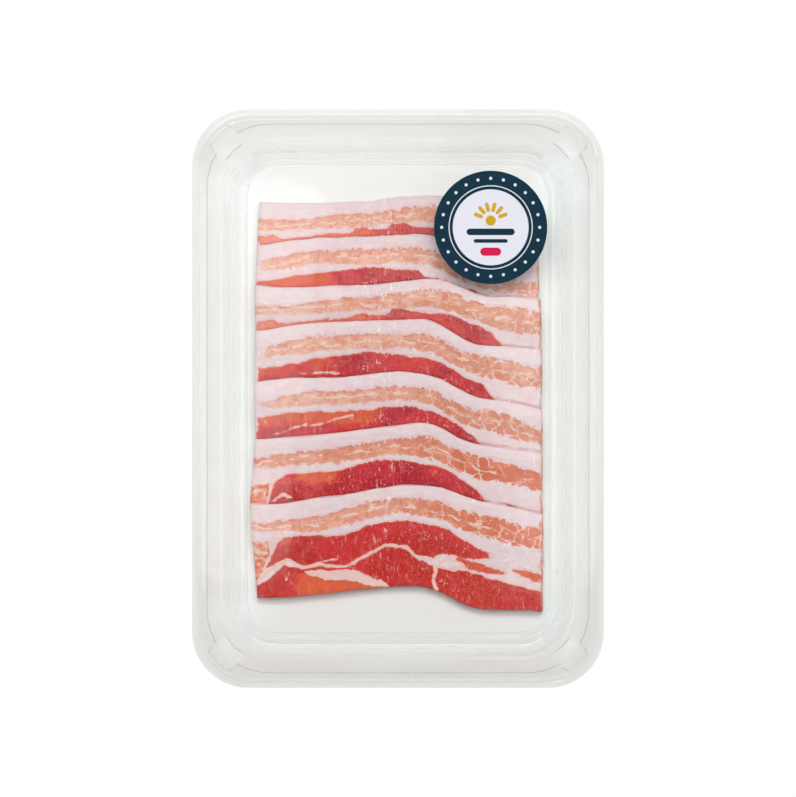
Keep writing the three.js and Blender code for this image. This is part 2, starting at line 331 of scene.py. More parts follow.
# Painted light at the sides: the sheet clearer and less red there, which offsets the shade and pink bounce
# light from the meat beside it; at an inset, and by side.
PAINTED_SIDE_LIGHT = [(5.8, 0), (7, 0.6), (15, 0.8), (18.8, 1.3)]
SIDE_LIGHT_LEFT, SIDE_LIGHT_RIGHT, SIDE_LIGHT_CLEARS = 0.4, 0.7, 0.11
# The sheet's thin lines: inset, half width and strength. The dark ones are painted shade; the white ones are
# frosting that also stands as a painted highlight.
DARK_LINES = [(FLANGE_INSET, 0.09, 0.8), (FLOOR_INSET, 0.1, 0.45)]
FROST_AND_HIGHLIGHT_LINES = [(14.2, 0.13, 1), (17.2, 0.1, 0.6), (10.2, 0.2, 0.12)]
LUG_FOOT_LINE = [(8.7, 0.05, 0.7)]
LUG_RIM_LINE = [(FLANGE_INSET, 0.1, 0.25)]
LUG_SPREAD_BELOW = 1.3  # how many degrees wider a lug is on the sheet's lower face
NO_LUG = 0.03  # a smaller share of the lug counts as none
FLOOR_SHARES = (0.04, 0.3, 0.55, 0.75, 0.88, 0.96)
FILLET_STEPS, FILLET_REACH = 6, 0.45
CURL_START, CURL_FALL = FLANGE_INSET - 1, 0.8  # where the rim's sheet curls down, and over what height


def filleted(section):
    """The section with every corner rounded by a short curve."""
    rows = [np.array(row, float) for row in section]
    result = [rows[0]]
    for before, here, after in zip(rows, rows[1:], rows[2:]):
        reach = here[2]
        back = before - here
        ahead = after - here
        start = here + back * min(FILLET_REACH, reach / np.hypot(back[0], back[1]))
        end = here + ahead * min(FILLET_REACH, reach / np.hypot(ahead[0], ahead[1]))
        for step in range(FILLET_STEPS + 1):
            t = step / FILLET_STEPS
            result.append((1 - t) ** 2 * start + 2 * t * (1 - t) * here + t ** 2 * end)
    result.append(rows[-1])
    return np.array(result)


def underside(rows):
    """The sheet's lower face: every point moved by the thickness, square to the section."""
    ahead = np.vstack([rows[1:], rows[-1:]]) - np.vstack([rows[:1], rows[:-1]])
    length = np.hypot(ahead[:, 0], ahead[:, 1])
    moved = rows.copy()
    moved[:, 0] -= SHEET * ahead[:, 1] / length
    moved[:, 1] += SHEET * ahead[:, 0] / length
    curl = smooth(CURL_START - rows[:, 0])
    fall = smooth((TOP - rows[:, 1]) / CURL_FALL)
    moved[:, 0] = lerp(moved[:, 0], rows[:, 0] + SHEET * fall, curl)
    moved[:, 1] = lerp(moved[:, 1], rows[:, 1] - SHEET * (1 - fall), curl)
    return moved


def corner_angles():
    flank = np.linspace(LUG_HALF_ANGLE - 1, LUG_HALF_ANGLE + LUG_FLANK + 1, 9)
    half = np.concatenate([[0, 3, 6, 9], flank, [19, 23, 27, 31, 35, 40, 45]])
    return np.concatenate([45 - half[:0:-1], 45 + half])


def outline(inset, lug=0.0, spread=0.0):
    """A rounded rectangle in plan, with the corner lugs pushed out by `lug`."""
    angles = corner_angles()
    across = np.abs(angles - 45) - LUG_HALF_ANGLE - spread
    push = LUG_OUT * lug * (1 - smooth(across / LUG_FLANK)) * (1 - 0.04 * (across + LUG_HALF_ANGLE) / 5)
    radius = through(CORNER_RADIUS, inset)
    turn = np.radians(angles)
    x = TRAY_WIDTH / 2 - inset - radius + (radius + push) * np.cos(turn)
    y = TRAY_LENGTH / 2 - inset * through(END_INSET, inset) - radius + (radius + push) * np.sin(turn)
    quarter = np.stack([x, y], 1)
    turned = quarter[::-1]
    return np.vstack([quarter, turned * (-1, 1), -quarter, turned * (1, -1)])


def marks(lines, inset):
    return sum(strength * math.exp(-((inset - at) / width) ** 2) for at, width, strength in lines)


def build_tray(material):
    upper = filleted(SECTION)
    lower = underside(upper)
    angles = corner_angles()
    in_lug = np.tile(1 - smooth((np.abs(angles - 45) - LUG_HALF_ANGLE) / LUG_FLANK), 4)
    plain = 0 * in_lug
    quarter = smooth(angles / 90)
    at_end = np.concatenate([quarter, quarter[::-1]] * 2)
    rings, grey_and_shade, frost_and_highlight, painted_side_light = [], [], [], []

    def add(plan, z, inset, lines, white):
        # Painted shade by side: darker at the front and the sides, lighter at the back.
        side = np.where(plan[:, 0] > 0, PAINTED_SHADE_RIGHT, PAINTED_SHADE_LEFT)
        end = np.where(plan[:, 1] > 0, PAINTED_SHADE_BACK, PAINTED_SHADE_FRONT)
        # Painted light at the sides, strongest on the right and towards the floor.
        side_light = through(PAINTED_SIDE_LIGHT, inset) * np.where(plan[:, 0] > 0, SIDE_LIGHT_RIGHT, SIDE_LIGHT_LEFT) * (1 - at_end)
        rings.append(at_height(plan, z))
        grey = through(GREY, inset) + lerp(side, end, at_end) - SIDE_LIGHT_CLEARS * side_light
        grey_and_shade.append(grey * (1 - white) + lines)
        frost_and_highlight.append(white)
        painted_side_light.append(side_light)

    def add_floor(z, shares):
        for share in shares:
            add(outline(SECTION[0][0]) * share, z, SECTION[0][0], plain, plain)

    add_floor(SHEET, FLOOR_SHARES)
    for inset, z, _, lug in upper:
        # Round a lug the sharp lines run along its foot, not its rim.
        foot = marks(LUG_FOOT_LINE, inset) * (lug < NO_LUG)
        # Painted shade: thin dark lines along the flange's inner edge, the floor's edge and the lug's foot.
        lines = marks(DARK_LINES, inset) * (1 - in_lug) ** 3 + foot * in_lug ** 2
        # Frosting with a painted highlight: white lines on the wall and at its foot, and round the lug's rim.
        white = lerp(marks(FROST_AND_HIGHLIGHT_LINES, inset), marks(LUG_RIM_LINE, inset), in_lug)
        add(outline(inset, lug), z, inset, lines, np.minimum(white, 1))
    for inset, z, _, lug in lower[::-1]:
        add(outline(inset, lug, LUG_SPREAD_BELOW), z, inset, plain, plain)
    add_floor(0, FLOOR_SHARES[::-1])
    faces = ring_faces(len(rings), len(in_lug))
    looks = {"grey_and_shade": np.concatenate(grey_and_shade), "frost_and_highlight": np.concatenate(frost_and_highlight), "painted_side_light": np.concatenate(painted_side_light)}
    piece = make_piece("tray_shell", np.vstack(rings), faces, material, attributes=looks)
    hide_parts("tray")
    return piece


# ---- Lid film ----

FILM = 0.06
FILM_BULGE = 0.36
BULGE_SPAN = 16
FILM_LOW = TRAY_HEIGHT + 0.04
FILM_SHARES = np.concatenate([np.linspace(0.02, 0.92, 42), [0.935, 0.95, 0.965, 0.98, 1]])


def film_height(x, y):
    """The film is welded to the flange and stands slightly proud of it over the tray."""
    from_side = TRAY_WIDTH / 2 - FLANGE_INSET - np.abs(x)
    from_end = TRAY_LENGTH / 2 - FLANGE_INSET - np.abs(y)
    inside = smooth(np.minimum(from_side, from_end) / BULGE_SPAN)
    ripple = 0.03 * noise(x, y, 22, 3) + 0.015 * noise(x, y * 0.4, 7, 5)
    return FILM_LOW + inside * (FILM_BULGE + ripple)


def build_film(material):
    edge = outline(RIM_INSET)
    rings = []
    for thickness, order in ((FILM, FILM_SHARES), (0, FILM_SHARES[::-1])):
        for share in order:
            plan = edge * share
            rings.append(at_height(plan, film_height(*plan.T) + thickness))
    piece = make_piece("film_sheet", np.vstack(rings), ring_faces(len(rings), len(edge)), material)
    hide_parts("lid_film")
    return piece


# ---- Slices: shape ----

# The back edge of each slice, as in the CAD model, and how it steps up at the crease.
Edge = namedtuple("Edge", "y rise crest drop tail left right")
EDGES = [
    Edge(69.7, 2.6, 13.7, 4.1, 2.7, -49.7, 51),
    Edge(55.5, 3.1, 6, 4, 6, -50.4, 51),
    Edge(39.3, 2.7, 13.2, 5.9, 1, -50.9, 51.2),
    Edge(25, 3.3, 8, 7.4, 3, -50.9, 51.8),
    Edge(6.7, 2.6, 7.6, 6.4, 5.5, -51.2, 52),
    Edge(-14.6, 5.2, 9, 6, 4.2, -51, 52.2),
    Edge(-37.7, 6.5, 8, 3.4, 6.8, -53, 52.4),
]
# Further steps of each back edge at the stations, in mm towards the front.
EDGE_TRIM = [
    (-0.6, -0.1, 0.4, 0.4, 1.0, -0.2, -0.5, -0.1, 0.1, -0.2, 0.1),
    (1.0, -0.4, -0.9, -0.3, 0.2, 0.2, -0.1, -0.1, 0, 0.6, 0.5),
    (-0.8, 0, 0.3, 0.4, 0.9, 0.1, -0.6, 0, 0, -0.6, -0.3),
    (1.0, -0.3, -1.0, -0.6, 0, 0.2, 0.2, 0.7, 0.9, 0.5, 0.7),
    (0.7, -0.4, 0, 0.6, 0.1, -0.6, 0.7, 0.4, 0.6, 0.3, 1.2),
    (0, -0.4, 0, 0.2, 0, 0, -0.9, 0.4, -0.5, -0.4, -0.1),
    (0, 0.1, -0.4, 0.2, -0.2, -0.6, -0.2, -0.6, -0.6, -0.8, -0.1),
]
LAST_FRONT = Edge(-71.6, 4.4, 8, 8.6, 0.2, -50.6, 52.6)
EDGE_START, EDGE_END, DROP_SPAN, TAIL_AFTER = -50, 51, 22, 8

STATIONS = (-50, -40, -30, -20, -10, 0, 10, 20, 30, 40, 50)
# Depth from the back edge to the bottom of the outer fat, of the pale lean, and to the dark lean.
FAT = [
    (5.7, 6.1, 5.4, 4.6, 4.5, 4.3, 3.1, 3.0, 3.2, 4.0, 5.0),
    (6.8, 4.9, 4.2, 4.3, 4.4, 4.5, 4.6, 5.3, 6.6, 7.8, 7.0),
    (6.2, 6.6, 5.7, 4.7, 4.5, 4.5, 3.0, 3.4, 2.8, 2.9, 4.7),
    (7.3, 5.3, 4.3, 4.5, 4.5, 5.2, 4.7, 4.8, 3.7, 5.4, 7.0),
    (8.5, 5.9, 4.5, 5.3, 5.2, 4.8, 4.7, 5.9, 3.9, 5.0, 8.0),
    (6.8, 5.4, 5.1, 5.4, 5.0, 4.5, 4.2, 4.8, 3.6, 4.8, 7.0),
    (6.7, 6.3, 6.3, 5.2, 3.8, 4.2, 4.6, 4.7, 4.0, 4.5, 5.4),
]
PALE = [
    (9.4, 9.6, 9.5, 9.6, 9.9, 9.3, 9.2, 10.2, 10.4, 12.0, 12.5),
    (10.0, 9.5, 8.3, 9.0, 10.3, 10.2, 10.8, 11.9, 12.8, 13.4, 12.6),
    (9.6, 9.7, 9.7, 9.6, 10.0, 9.7, 9.3, 10.4, 10.2, 12.1, 12.5),
    (10.4, 10.1, 8.9, 9.2, 10.2, 10.2, 11.6, 12.0, 11.6, 13.9, 15.0),
    (10.2, 10.0, 9.8, 10.4, 10.2, 9.9, 11.1, 12.1, 11.7, 13.3, 14.0),
    (10.2, 9.7, 10.0, 11.0, 10.3, 10.0, 11.8, 12.4, 11.9, 12.6, 13.5),
    (9.8, 10.1, 11.9, 11.2, 9.8, 9.6, 11.0, 11.8, 12.1, 12.6, 12.7),
]
DARK = [
    (12.1, 12.0, 11.7, 11.2, 10.9, 10.9, 11.5, 11.8, 13.0, 17.0, 18.0),
    (13.7, 12.7, 11.5, 11.2, 11.2, 12.6, 14.5, 14.4, 14.9, 17.0, 18.0),
    (12.2, 11.9, 11.8, 11.5, 11.1, 11.1, 12.1, 11.6, 11.8, 17.0, 18.0),
    (14.1, 13.2, 12.0, 11.4, 11.2, 12.8, 13.9, 13.6, 15.2, 18.0, 19.0),
    (13.7, 12.3, 12.1, 13.0, 12.8, 11.8, 13.2, 13.6, 16.8, 20.0, 21.0),
    (20.7, 12.6, 13.1, 13.5, 11.7, 12.2, 14.1, 13.9, 17.9, 20.0, 21.0),
    (14.8, 11.9, 13.3, 14.7, 12.2, 11.7, 13.3, 14.3, 17.8, 20.0, 21.0),
]
TIP = (36, 28, 37, 34, 29, 31, 32.5)  # where the dark lean tapers out at the right
FADING_LEFT = (1, 3, 4)  # slices whose pale lean thins out at the left
WARM_END = (-4, -19, -4, -17, -4, -17, -4)  # where the orange of the dark lean ends
# How much further up the dark lean reaches along a slice. The first and the third are thin strips.
STRIP_RISE = [
    (-50, 0.5), (-44.5, 0.9), (-42.5, -0.5), (-30, -0.4), (-16.5, -0.4), (-15.2, 0.6), (-11.5, 0.5),
    (-10.3, -0.3), (-3.5, -0.3), (-2, 1.6), (3, 1.3), (12, 0),
]
LEAN_RISE = {0: STRIP_RISE, 1: [(-2, 0), (4, 0.6), (7.6, 1.2), (9, -0.2), (14, 0)], 2: STRIP_RISE}
# The folded end that shows at the left of the two front slices: inner end as (depth, x), top as (x, depth).
FOLD_SHOWN = {
    5: ([(14.4, -45.9), (17, -46.4), (22.9, -47.9)], [(-51, 16.4), (-47.5, 16), (-45.9, 14.4)]),
    6: ([(13.4, -45.9), (17, -46.3), (22, -47.2), (28, -50.5)], [(-52, 13.6), (-46, 13.4)]),
}
# How deep the pale lean's tone is, and how hazy and how brick red the dark lean is, at three stations.
TONE_AT = (-42, -2, 32)
DEEP_PALE = [
    (0, 0, 0.1), (0, 0, 0.1), (0, 0, 0.1), (0, 0, 0.25), (0, 0.1, 0.35), (0.4, 0.35, 0.85), (0.15, 0.3, 0.75),
]
HAZY_DARK = [
    (0.65, 0.25, 0.2), (0, 0.2, 0.2), (0.6, 0.3, 0.12), (0, 0.12, 0.06), (0.1, 0.05, 0.1), (0, 0, 0.06),
    (0, 0, 0.06),
]
BRICK_DARK = [(0, 0, 0), (0, 0, 0), (0, 0, 0), (0.5, 0, 0), (0.3, 0, 0), (0.9, 0.1, 0.2), (0.95, 0.9, 0.9)]


def edge_y(edge, x):
    climb = edge.rise * smooth((x - EDGE_START) / (edge.crest - EDGE_START))
    fall = edge.drop * smooth((x - edge.crest) / DROP_SPAN)
    tail_start = edge.crest + TAIL_AFTER
    run = (x - tail_start) / (EDGE_END - tail_start)
    return edge.y + climb - fall - edge.tail * np.clip(run, 0, 1)


def station(values, x):
    """A smooth curve through the values at the stations."""
    fine = np.linspace(STATIONS[0], STATIONS[-1], 101)
    line = np.interp(fine, STATIONS, values)
    kernel = np.hanning(11)
    padded = np.pad(line, 5, mode="edge")
    return np.interp(x, fine, np.convolve(padded, kernel / kernel.sum(), "valid"))


def back_edge(number, x):
    """Where the slice's back edge lies as seen: the CAD edge with its smaller steps."""
    return edge_y(EDGES[number], x) - station(EDGE_TRIM[number], x)


# The last slice shows whole. Its leans and fat, as (x, depth) or (x, depth, half width).
MEMBRANE = [
    (-50.2, 28, 0.6), (-45.8, 23.7, 0.7), (-41.7, 21.3, 0.7), (-38.7, 20.2, 0.6), (-35.9, 23, 0.4),
    (-34.2, 24.3, 0.6), (-27.6, 23.9, 0.5), (-17.9, 25.8, 0.3), (-11.8, 23, 0.35), (-5, 20.5, 0.45),
    (3.6, 21.6, 0.35), (6.8, 24.9, 0.6), (11.5, 26.2, 0.7),
]
UPPER_LEAN_FOOT = [
    (-49, 25), (-41, 21), (-38.7, 20.2), (-34.8, 23.6), (-27.6, 23.7), (-17.9, 25.8), (-11.8, 23), (-5, 20.5),
    (3.6, 21.6), (6.8, 24.9), (11.5, 26), (17, 23.2), (23.7, 21.6), (33, 19),
]
LOWER_LEAN_TOP = [
    (-50, 29), (-46, 26.5), (-41, 22.6), (-34, 24.4), (-27.6, 24.6), (-17.9, 26.6), (-11.8, 24), (-5, 21.2),
    (3.6, 22.6), (6.8, 26), (11.5, 28.4), (15, 29), (23.7, 26), (34.4, 26.5), (41.6, 27.3), (52, 28.2),
]
FAT_WEDGE = [(-34, 25.5, 0.3), (-26, 27.8, 1.8), (-15.4, 29.8, 2.1), (-6.8, 34, 1.2), (-3.6, 36.4, 0.5)]
FAT_PATCH = [(14, 28.6, 0.6), (16, 27.4, 1.4), (19, 26.2, 2.3), (23, 24.6, 1)]
CROSS_VEIN = [(12.6, 28, 0.5), (13.4, 31, 0.6), (13.2, 36.5, 0.7)]
LEAN_STREAKS = [
    [(21.5, 23.4, 0.5), (25, 23.4, 1.6), (31, 23.5, 1.5), (38, 23.5, 0.4)],
    [(41, 21.9, 0.3), (45, 22.4, 1), (50, 22.8, 1.5), (52, 23, 1.5)],
]
RED_SPOTS = [[(38.9, 20.5, 0.6), (40.2, 20.5, 0.5)], [(41.6, 20.7, 0.35), (42.4, 20.7, 0.3)]]
LAST = len(EDGES) - 1
# Streaks and spots of lean in the fat.
EXTRA_LEAN = {LAST - 1: RED_SPOTS, LAST: LEAN_STREAKS}
# Threads and patches of fat that cross the lean of a slice, as (x, depth, half width).
VEINS = {
    3: [[(-30, 17, 0.3), (-26, 17.2, 0.55), (-21.5, 17.6, 0.3)], [(-36, 16.6, 0.25), (-33, 17.3, 0.2)]],
    4: [
        [(-44, 19.6, 0.2), (-37, 17.2, 0.25), (-28, 16.4, 0.3), (-16, 14.6, 0.35)],
        [(-37, 17.4, 0.2), (-33, 15.8, 0.2)],
        [(9.6, 13.6, 0.3), (10.6, 16.5, 0.25), (10, 19.5, 0.4)],
    ],
    5: [
        [(-45.5, 22.4, 0.3), (-42.8, 21.1, 0.45), (-40.7, 19.9, 0.75), (-37.7, 21.5, 0.3)],
        [(-44, 12.9, 1.1), (-45.2, 16.5, 0.9), (-46.7, 21, 0.6), (-47.1, 23, 0.6)],
    ],
    6: [
        MEMBRANE, FAT_WEDGE, FAT_PATCH, CROSS_VEIN,
        [(-42.6, 11.6, 1.9), (-44.9, 14.8, 1.4), (-45.4, 17.8, 0.6), (-46.9, 22.3, 0.6), (-48.6, 26, 0.3)],
        [(-52.5, 17.3, 0.6), (-46.5, 17.2, 0.5)],
        [(-38.3, 25.5, 0.2), (-40.4, 27.6, 0.3)],
        [(-31, 23.8, 0.3), (-24, 22.6, 0.35), (-20, 22.8, 0.2)],
    ],
}
OUTSIDE = -9.0  # a signed distance well outside a form


def slice_ends(number, depth):
    """The left and right end of a slice at a depth from its back edge."""
    curves = [*EDGES, LAST_FRONT]
    down, left, right = zip(*((-curve.y, curve.left, curve.right) for curve in curves))
    at = depth - EDGES[number].y
    return np.interp(at, down, left), np.interp(at, down, right)


def cad_sheet(node):
    """A ray caster for the upper and the lower face of a CAD slice, in millimetres."""
    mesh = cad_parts[node].data
    tree = BVHTree.FromPolygons([v.co / MM for v in mesh.vertices], [p.vertices for p in mesh.polygons])

    def face(x, y, downward):
        start = Vector((x, y, 100 if downward else -100))
        hit = tree.ray_cast(start, Vector((0, 0, -1 if downward else 1)))[0]
        return None if hit is None else hit.z

    return face


SHORTEST, LONGEST, LENGTH_STEP = 34.0, 60, 0.25


def slice_length(face, number, x):
    """How deep the CAD slice runs from its back edge at x."""
    back = edge_y(EDGES[number], x)
    depth = SHORTEST
    while depth < LONGEST and face(x, back - depth, True) is not None:
        depth += LENGTH_STEP
    return depth - LENGTH_STEP


GRID_X, GRID_T = 40, 26
USUAL_LENGTH = 40
CLEAR_LEFT, CLEAR_RIGHT, CLEAR_BACK, CLEAR_FRONT = 3, 4, 1.7, 3.3  # keeps off the CAD slice's round edges
BLUR_PASSES = 2


def coarse_heights(number, face, length):
    """Both faces of the CAD slice on a grid of shares across and down, without its round edges."""
    top, bottom = np.zeros((2, GRID_T, GRID_X))
    for i, down in enumerate(np.linspace(0, 1, GRID_T)):
        for j, across in enumerate(np.linspace(0, 1, GRID_X)):
            left, right = slice_ends(number, down * USUAL_LENGTH)
            x = np.clip(lerp(left, right, across), left + CLEAR_LEFT, right - CLEAR_RIGHT)
            depth = np.clip(down * length(x), CLEAR_BACK, length(x) - CLEAR_FRONT)
            y = edge_y(EDGES[number], x) - depth
            top[i, j] = face(x, y, True)
            bottom[i, j] = face(x, y, False)
    return blurred(top), blurred(bottom)


def blurred(grid):
    for _ in range(BLUR_PASSES):
        padded = np.pad(grid, 1, mode="edge")
        grid = (padded[:-2, 1:-1] + padded[2:, 1:-1] + padded[1:-1, :-2] + padded[1:-1, 2:] + 2 * grid) / 6
    return grid


def sample(grid, down, across):
    """Smooth look-up in a grid by shares."""
    rows, columns = grid.shape
    r, c = np.clip(down, 0, 1) * (rows - 1), np.clip(across, 0, 1) * (columns - 1)
    r0, c0 = np.minimum(r.astype(int), rows - 2), np.minimum(c.astype(int), columns - 2)
    fr, fc = smooth(r - r0) * 0.5 + (r - r0) * 0.5, smooth(c - c0) * 0.5 + (c - c0) * 0.5
    near = lerp(grid[r0, c0], grid[r0, c0 + 1], fc)
    far = lerp(grid[r0 + 1, c0], grid[r0 + 1, c0 + 1], fc)
    return lerp(near, far, fr)


def stroke(points, x, depth):
    """Millimetres inside a soft line of changing width: positive within it."""
    best = np.full(x.shape, OUTSIDE)
    for (x0, t0, w0), (x1, t1, w1) in zip(points, points[1:]):
        dx, dt = x1 - x0, t1 - t0
        along = np.clip(((x - x0) * dx + (depth - t0) * dt) / (dx * dx + dt * dt), 0, 1)
        away = np.hypot(x - x0 - along * dx, depth - t0 - along * dt)
        best = np.maximum(best, lerp(w0, w1, along) - away)
    return best


def in_strokes(strokes, x, depth):
    """The same for several lines together."""
    return np.max([np.full(x.shape, OUTSIDE), *(stroke(points, x, depth) for points in strokes)], axis=0)


def bands(number, x, depth):
    """The meat's bands, as signed distances in mm (positive inside)."""
    wave = 0.35 * noise(x, depth, 4, number) + 0.2 * noise(x, depth, 1.7, number + 10)
    fat = station(FAT[number], x) + wave
    pale_foot = station(PALE[number], x) - wave + 0.25 * np.abs(noise(x, depth * 0, 2.6, number + 20))
    lean_top = station(DARK[number], x) + 0.25 * noise(x, depth, 3, number + 30)
    if number in LEAN_RISE:
        lean_top = lean_top - through(LEAN_RISE[number], x)
    lean_top = lean_top - 0.8 * smooth((x - TIP[number] + 12) / 6) + 0.3 * noise(x, x * 0, 6, number + 190)
    fold = np.full(x.shape, OUTSIDE)
    bent_x = x + 0.8 * noise(x, depth, 4.5, number + 160)
    bent_depth = depth + 0.45 * noise(x, depth, 3.2, number + 170) + 0.2 * noise(x, depth, 1.3, number + 180)
    veins = in_strokes(VEINS.get(number, []), bent_x, bent_depth)
    if number == LAST:
        front = depth - LONGEST
        tip = (TIP[number] - x) * 0.5
        upper = np.minimum(np.minimum(depth - lean_top, through(UPPER_LEAN_FOOT, x) - bent_depth), tip)
        dark = np.maximum(upper, bent_depth - through(LOWER_LEAN_TOP, x))
    else:
        front = back_edge(number + 1, x) - edge_y(EDGES[number], x) + depth
        tip = (TIP[number] + 0.5 + 0.9 * front - x) * 0.7
        foot = lean_top + 11 + noise(x, depth, 12, number + 40)
        dark = np.maximum(np.minimum(np.minimum(depth - lean_top, foot - depth), tip), depth - foot - 2)
    if number in EXTRA_LEAN:
        dark = np.maximum(dark, in_strokes(EXTRA_LEAN[number], bent_x, bent_depth))
    pale = np.minimum(depth - fat, pale_foot - depth)
    from_fold = x + 50 + 0.9 * noise(x, depth, 3, number + 200)
    if number in FADING_LEFT:
        pale = np.minimum(pale, 0.3 * (from_fold - 1.5))
    if number in FOLD_SHOWN:
        inner_end, top = FOLD_SHOWN[number]
        fold = np.minimum(through(inner_end, bent_depth) - bent_x, bent_depth - through(top, bent_x))
    else:
        dark = np.minimum(dark, 0.9 * from_fold)
    return {
        "pale": pale, "pale_top": depth - fat, "pale_middle": depth - (fat + pale_foot) / 2,
        "dark": dark, "vein": veins, "fold": fold, "edge": depth, "front": front, "past_tip": x - TIP[number],
        "warm": warmth(number, x, depth, depth - lean_top), "deep": np.interp(x, TONE_AT, DEEP_PALE[number]),
        "haze": np.interp(x, TONE_AT, HAZY_DARK[number]), "brick": np.interp(x, TONE_AT, BRICK_DARK[number]),
    }


def warmth(number, x, depth, below):
    """Share of orange in the dark lean: high at the left and along its upper edge."""
    left = smooth((WARM_END[number] - x) / 9) * smooth((6.5 - below) / 5)
    patch = 0.4 * noise(x, depth, 9, number + 50) + 0.2 * noise(x, depth, 4, number + 60)
    value = (1.2 if number == 4 else 0.85) * left + patch
    if number == LAST - 1:
        value = value * (1 - 0.7 * smooth((-34 - x) / 5))
        value = value + 0.8 * np.exp(-((x + 27) / 6) ** 2) * smooth((5 - below) / 2.5)
        value = value + 0.25 * smooth((-24 - x) / 8) * smooth((3.5 - below) / 2)
    if number == LAST:
        bent = x + 3 * noise(x, depth, 7, 220)
        wedge = through([(along, down) for along, down, _ in FAT_WEDGE], x)
        strip = smooth((bent + 41) / 13) * smooth((-1 - x) / 5) * smooth(depth - wedge)
        streak = smooth((x - 19) / 3) * smooth((25.5 - depth) / 1) * smooth((depth - 21) / 1)
        corner = np.exp(-((x + 39.5) / 2.5) ** 2) * smooth((16 - depth) / 2)
        value = 0.25 + 0.45 * patch + 1.1 * strip + 0.8 * corner + 0.45 * streak
        value = value - 0.3 * smooth((below - 3) / 4) * smooth((x + 14) / 6) * (1 - streak)
        value = value - 0.35 * smooth((-36 - x) / 5) * smooth((depth - 20) / 3)
    return value


# Where painted highlights on beads of juice lie, from the middle of the pack, in mm.
WET_SPOTS = [
    (-49, 16), (-41, 13.5), (-6.5, 13.5), (-11, 11), (-32, 3), (-36, -1), (-48.5, -8), (-4.6, -8.3),
    (8, 10.4), (18.3, 6.8), (22, 13), (47, 8.6), (11.2, 2.2), (27.6, -7), (18, -10.4), (-21, -32.6),
    (-5.5, -30), (-36.3, -40.5), (-50, -44.7), (-18.3, -44.7), (9.8, -49), (14.2, -50), (49, -56.5),
    (-16.7, -61.2), (16.5, -66), (50.5, -65.5), (-48, 34), (-37, 47), (-9, 70), (-6, 62), (-12, 40),
    (-7, 33), (36, 30), (46, 24), (47.5, 32), (-42, 57),
]
SPOT_REACH, SPOT_FLATNESS = 2.8, 1.3


def wetness(x, y):
    """How near a wet spot is, from 0 to 1."""
    value = np.zeros(x.shape)
    for spot_x, spot_y in WET_SPOTS:
        value = np.maximum(value, 1 - np.hypot(x - spot_x, (y - spot_y) * SPOT_FLATNESS) / SPOT_REACH)
    return value


CREASES = (-9.3, -5.5, -1.2)  # faint grooves that run across the pile
CREASE_DEPTH, CREASE_HALF_WIDTH = 0.16, 0.55


def relief(number, x, depth, fields):
    """Height of the meat's own unevenness, in mm."""
    pale, dark, veins = fields["pale"], fields["dark"], fields["vein"]
    height = 0.16 * noise(x, depth, 17, number + 70) + 0.07 * noise(x, depth, 6, number + 80)
    height += 0.10 * smooth(0.5 - np.maximum(pale, dark))
    height += 0.045 * noise(x, depth, 1.5, number + 90) * smooth(np.maximum(pale, dark) + 0.5)
    height += 0.05 * noise(x, depth * 3, 5, number + 95)
    height += 0.10 * smooth(veins + 0.6)
    for i, at in enumerate(CREASES):
        off = x - at - 1.2 * noise(depth, depth * 0, 7, number * 5 + i)
        height -= CREASE_DEPTH * np.exp(-(off / CREASE_HALF_WIDTH) ** 2) * smooth(depth - 3)
    return height


def spread(length, edge, step):
    """Distances along a length, close together at both ends."""
    near = np.array([0, 0.05, 0.16, 0.34, 0.62, 1]) * edge
    return np.concatenate([near, np.arange(edge, length - edge, step)[1:], length - near[::-1]])


FOLD_RADIUS, EDGE_RADIUS = 2.0, 0.7
UPPER_LEAF_IN, LOWER_LEAF_IN = 1.1, 0.7
LOWER_LEAF_SHORT = 0.3
# Painted highlights: hair lines painted white into the meat's colour.
HAIR_LINES = ((-5, 6), (47, 4))  # where hair lines catch the light: middle and half width


def rounding(distance, radius):
    """How far a rounded edge has dropped at a distance in from it."""
    inward = np.clip(distance / radius, 0, 1)
    return 0.92 * radius * (1 - np.sqrt(1 - (1 - inward) ** 2))


def slice_grid(number, heights, length, xs, depths, upper):
    """One face of a slice as a grid of points, and its band fields."""
    share, depth = np.meshgrid(xs, depths)
    left, right = slice_ends(number, depth)
    right = right - (UPPER_LEAF_IN if upper else LOWER_LEAF_IN)
    x = left + share * (right - left)
    ragged = 0.35 * noise(depth, depth * 0, 5, number + (100 if upper else 120))
    x = x + ragged * smooth((share - 0.9) * 10) - 0.5 * ragged * smooth((0.1 - share) * 10)
    reach = length(x)
    t = depth / depths[-1] * (reach if upper else reach - LOWER_LEAF_SHORT)
    edge_wobble = 0.15 * noise(x, x * 0, 5, number + 130) + 0.12 * noise(x, x * 0, 1.7, number + 140)
    if not upper:
        edge_wobble = 0.35 * noise(x, x * 0, 9, number + 150)
    trim = station(EDGE_TRIM[number], x) * smooth(1 - t / 9)
    y = edge_y(EDGES[number], x) - trim - t + edge_wobble * smooth(1 - t / 6)
    fields = bands(number, x, t)
    fields["wet"] = wetness(x, y)
    fields["cut"] = x - right + 0.5 + 1.1 * noise(t, t * 0, 3.5, number + 210)
    fields["hair"] = np.maximum(*(smooth(1.4 - np.abs(x - at) / width) for at, width in HAIR_LINES))
    down, across = t / reach, (x - left) / (right - left)
    top, bottom = heights
    from_left, from_right = share * (right - left), (1 - share) * (right - left)
    from_edge = np.minimum(t, t.max(axis=0) - t)
    drop = rounding(from_left, FOLD_RADIUS)
    drop = np.maximum(drop, rounding(np.minimum(from_right, from_edge), EDGE_RADIUS))
    if upper:
        z = sample(top, down, across) - drop + relief(number, x, t, fields)
    else:
        z = sample(bottom, down, across) + drop
    return np.stack([x, y, z], 2), fields


